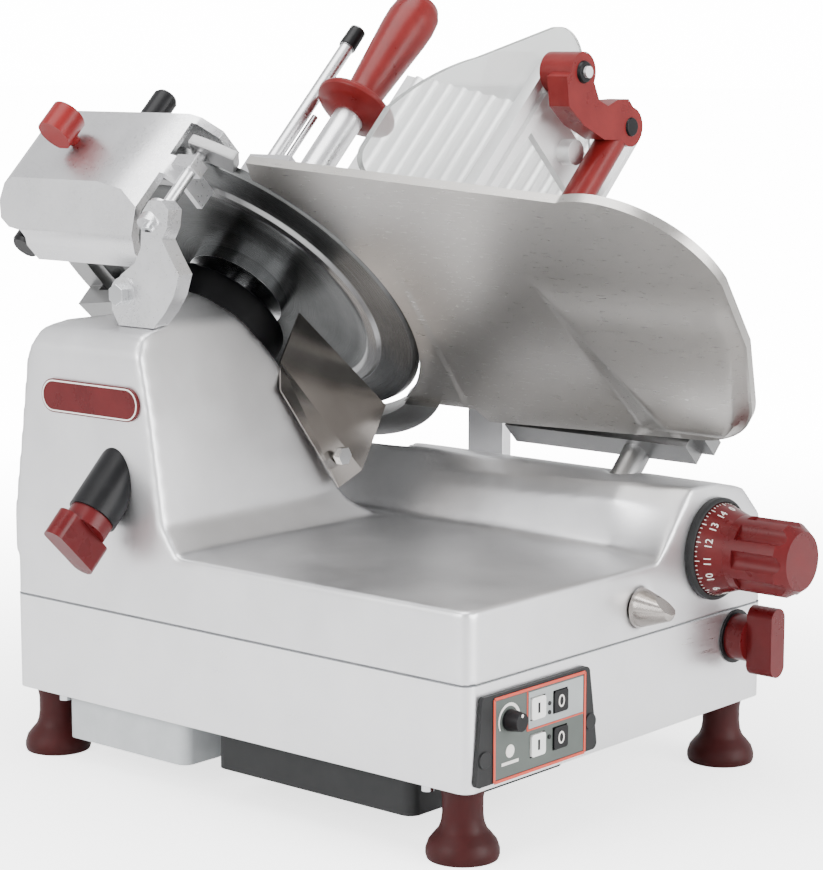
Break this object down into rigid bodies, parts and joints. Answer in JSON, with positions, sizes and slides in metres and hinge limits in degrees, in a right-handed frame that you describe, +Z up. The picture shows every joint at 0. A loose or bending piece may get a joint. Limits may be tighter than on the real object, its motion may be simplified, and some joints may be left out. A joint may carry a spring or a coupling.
{
  "type": "deli meat slicer",
  "caption": "Gravity-feed electric meat slicer: leaning round blade, sliding product carriage, thickness dial and blade sharpener on a cast base with rubber feet.",
  "frame": {"origin": "on the floor under the middle of the whole machine's outline", "axes": "+X to the operator's right, +Y away from the operator along the carriage travel, +Z up"},
  "size_m": [0.5876, 0.734, 0.6453],
  "materials": {
    "cast_alloy": "satin cast",
    "polished_alloy": "polished",
    "brushed_pan": "brushed",
    "steel_blade": "ground",
    "bright_steel": "bright",
    "maroon_plastic": "satin",
    "red_plastic": "gloss",
    "black_plastic": "matte",
    "grey_plastic": "matte",
    "dark_cover": "matte",
    "white_plastic": "satin",
    "rubber": "matte",
    "clear_plastic": "clear",
    "stone": "abrasive",
    "belt_rubber": "matte",
    "motor_paint": "satin",
    "board_green": "matte"
  },
  "bodies": {
    "base": {"base_pan": "brushed_pan", "bottom_plate": "brushed_pan", "upper_casting": "cast_alloy", "rubber_feet": "rubber", "base_fasteners": "bright_steel", "left_undercover": "grey_plastic", "front_undercover": "dark_cover", "drive_motor": "motor_paint", "blade_bearings": "bright_steel", "blade_guard": "polished_alloy", "guard_nose": "polished_alloy", "sharpener_bracket": "polished_alloy", "bracket_bolt": "bright_steel", "slice_deflector": "bright_steel", "deflector_nut": "bright_steel", "dial_ring": "grey_plastic", "badge_plate": "maroon_plastic", "release_boss": "black_plastic", "panel_bezel": "black_plastic", "control_board": "board_green", "carriage_rod": "bright_steel", "carriage_motor": "motor_paint", "drive_belt": "belt_rubber", "carriage_belt": "belt_rubber"},
    "blade_set": {"blade": "steel_blade", "blade_shaft": "bright_steel", "blade_pulley": "cast_alloy", "blade_screws": "bright_steel"},
    "motor_rotor": {"motor_pulley": "bright_steel"},
    "gauge": {"gauge_plate": "polished_alloy", "gauge_carrier": "cast_alloy"},
    "dial": {"dial_scale": "maroon_plastic", "dial_knob": "maroon_plastic", "thickness_cam": "bright_steel"},
    "carriage": {"carriage_trolley": "cast_alloy", "carriage_arm": "cast_alloy", "product_table": "polished_alloy", "hand_shield": "clear_plastic", "shield_rail": "polished_alloy", "guide_bar": "bright_steel"},
    "lever": {"carriage_lever": "maroon_plastic"},
    "pusher": {"pusher_tube": "bright_steel", "pusher_handle": "maroon_plastic", "pusher_plate": "polished_alloy"},
    "sharpener": {"sharpener_housing": "cast_alloy"},
    "grinder": {"grinding_stone": "stone"},
    "honer": {"honing_stone": "stone"},
    "sharpening_key": {"sharpening_button": "red_plastic"},
    "honing_key": {"honing_button": "black_plastic"},
    "sharpener_lock": {"sharpener_lock_knob": "black_plastic"},
    "release": {"release_knob": "maroon_plastic"},
    "front_catch": {"front_knob": "maroon_plastic"},
    "lock_key": {"lock_button": "bright_steel"},
    "blade_start_key": {"blade_start_button": "white_plastic"},
    "blade_stop_key": {"blade_stop_button": "black_plastic"},
    "carriage_start_key": {"carriage_start_button": "white_plastic"},
    "carriage_stop_key": {"carriage_stop_button": "black_plastic"},
    "speed_dial": {"speed_knob": "black_plastic"},
    "belt_wheel": {"belt_pulley": "bright_steel"},
    "idler_wheel": {"idler_pulley": "bright_steel"}
  },
  "joints": [
    {"name": "blade_spin", "type": "hinge", "parent": "base", "child": "blade_set", "pos_m": [-0.02077, 0.161, 0.39117], "axis": [0.7071, 0, 0.7071], "continuous": true},
    {"name": "motor_spin", "type": "hinge", "parent": "base", "child": "motor_rotor", "pos_m": [-0.08723, 0.131, 0.21156], "axis": [0.7071, 0, 0.7071], "continuous": true},
    {"name": "dial_turn", "type": "hinge", "parent": "base", "child": "dial", "pos_m": [0.092, -0.297, 0.193], "axis": [0, 1, 0], "range_deg": [0, 270]},
    {"name": "gauge_slide", "type": "slide", "parent": "base", "child": "gauge", "axis": [0.7071, 0, 0.7071], "range_m": [-0.01349, 0]},
    {"name": "carriage_slide", "type": "slide", "parent": "base", "child": "carriage", "axis": [0, 1, 0], "range_m": [-0.225, 0.07]},
    {"name": "pusher_slide", "type": "slide", "parent": "carriage", "child": "pusher", "axis": [0.7071, 0, 0.7071], "range_m": [0, 0.13]},
    {"name": "lever_swing", "type": "hinge", "parent": "carriage", "child": "lever", "pos_m": [0.1157, -0.102, 0.57572], "axis": [0, 1, 0], "range_deg": [0, 60]},
    {"name": "sharpener_swing", "type": "hinge", "parent": "base", "child": "sharpener", "pos_m": [-0.16785, 0.085, 0.48168], "axis": [0.7071, 0, 0.7071], "range_deg": [0, 25]},
    {"name": "grinder_spin", "type": "hinge", "parent": "sharpener", "child": "grinder", "pos_m": [-0.14522, 0.209, 0.47602], "axis": [0.6917, -0.2079, 0.6917], "continuous": true},
    {"name": "honer_spin", "type": "hinge", "parent": "sharpener", "child": "honer", "pos_m": [-0.12118, 0.186, 0.51421], "axis": [0.7071, 0, 0.7071], "continuous": true},
    {"name": "sharpening_press", "type": "slide", "parent": "sharpener", "child": "sharpening_key", "axis": [0.7071, 0, -0.7071], "range_m": [0, 0.0035], "stiffness_N_per_m": 900},
    {"name": "honing_press", "type": "slide", "parent": "sharpener", "child": "honing_key", "axis": [-0.7071, 0, -0.7071], "range_m": [0, 0.003], "stiffness_N_per_m": 900},
    {"name": "sharpener_lock_turn", "type": "hinge", "parent": "sharpener", "child": "sharpener_lock", "pos_m": [-0.17492, 0.26, 0.43218], "axis": [0.7071, 0, 0.7071], "range_deg": [0, 90]},
    {"name": "release_turn", "type": "hinge", "parent": "base", "child": "release", "pos_m": [-0.25553, 0.107, 0.21298], "axis": [0.7071, 0, 0.7071], "range_deg": [0, 90]},
    {"name": "front_catch_turn", "type": "hinge", "parent": "base", "child": "front_catch", "pos_m": [0.125, -0.277, 0.114], "axis": [0, 1, 0], "range_deg": [0, 90]},
    {"name": "lock_press", "type": "slide", "parent": "base", "child": "lock_key", "axis": [0, 1, 0], "range_m": [0, 0.003], "stiffness_N_per_m": 900},
    {"name": "blade_start_press", "type": "slide", "parent": "base", "child": "blade_start_key", "axis": [0, 1, 0], "range_m": [0, 0.0015], "stiffness_N_per_m": 900},
    {"name": "blade_stop_press", "type": "slide", "parent": "base", "child": "blade_stop_key", "axis": [0, 1, 0], "range_m": [0, 0.0015], "stiffness_N_per_m": 900},
    {"name": "carriage_start_press", "type": "slide", "parent": "base", "child": "carriage_start_key", "axis": [0, 1, 0], "range_m": [0, 0.0015], "stiffness_N_per_m": 900},
    {"name": "carriage_stop_press", "type": "slide", "parent": "base", "child": "carriage_stop_key", "axis": [0, 1, 0], "range_m": [0, 0.0015], "stiffness_N_per_m": 900},
    {"name": "speed_turn", "type": "hinge", "parent": "base", "child": "speed_dial", "pos_m": [-0.18, -0.272, 0.106], "axis": [0, 1, 0], "range_deg": [0, 270]},
    {"name": "belt_wheel_turn", "type": "hinge", "parent": "base", "child": "belt_wheel", "pos_m": [0.107, 0.173, 0.104], "axis": [1, 0, 0], "continuous": true},
    {"name": "idler_turn", "type": "hinge", "parent": "base", "child": "idler_wheel", "pos_m": [0.107, -0.227, 0.104], "axis": [1, 0, 0], "continuous": true}
  ],
  "couplings": [
    {"joint": "motor_spin", "follows": "blade_spin", "ratio": 2.5},
    {"joint": "dial_turn", "follows": "gauge_slide", "rad_per_m": -349.07},
    {"joint": "belt_wheel_turn", "follows": "carriage_slide", "rad_per_m": -54.645},
    {"joint": "idler_turn", "follows": "carriage_slide", "rad_per_m": -54.645}
  ]
}
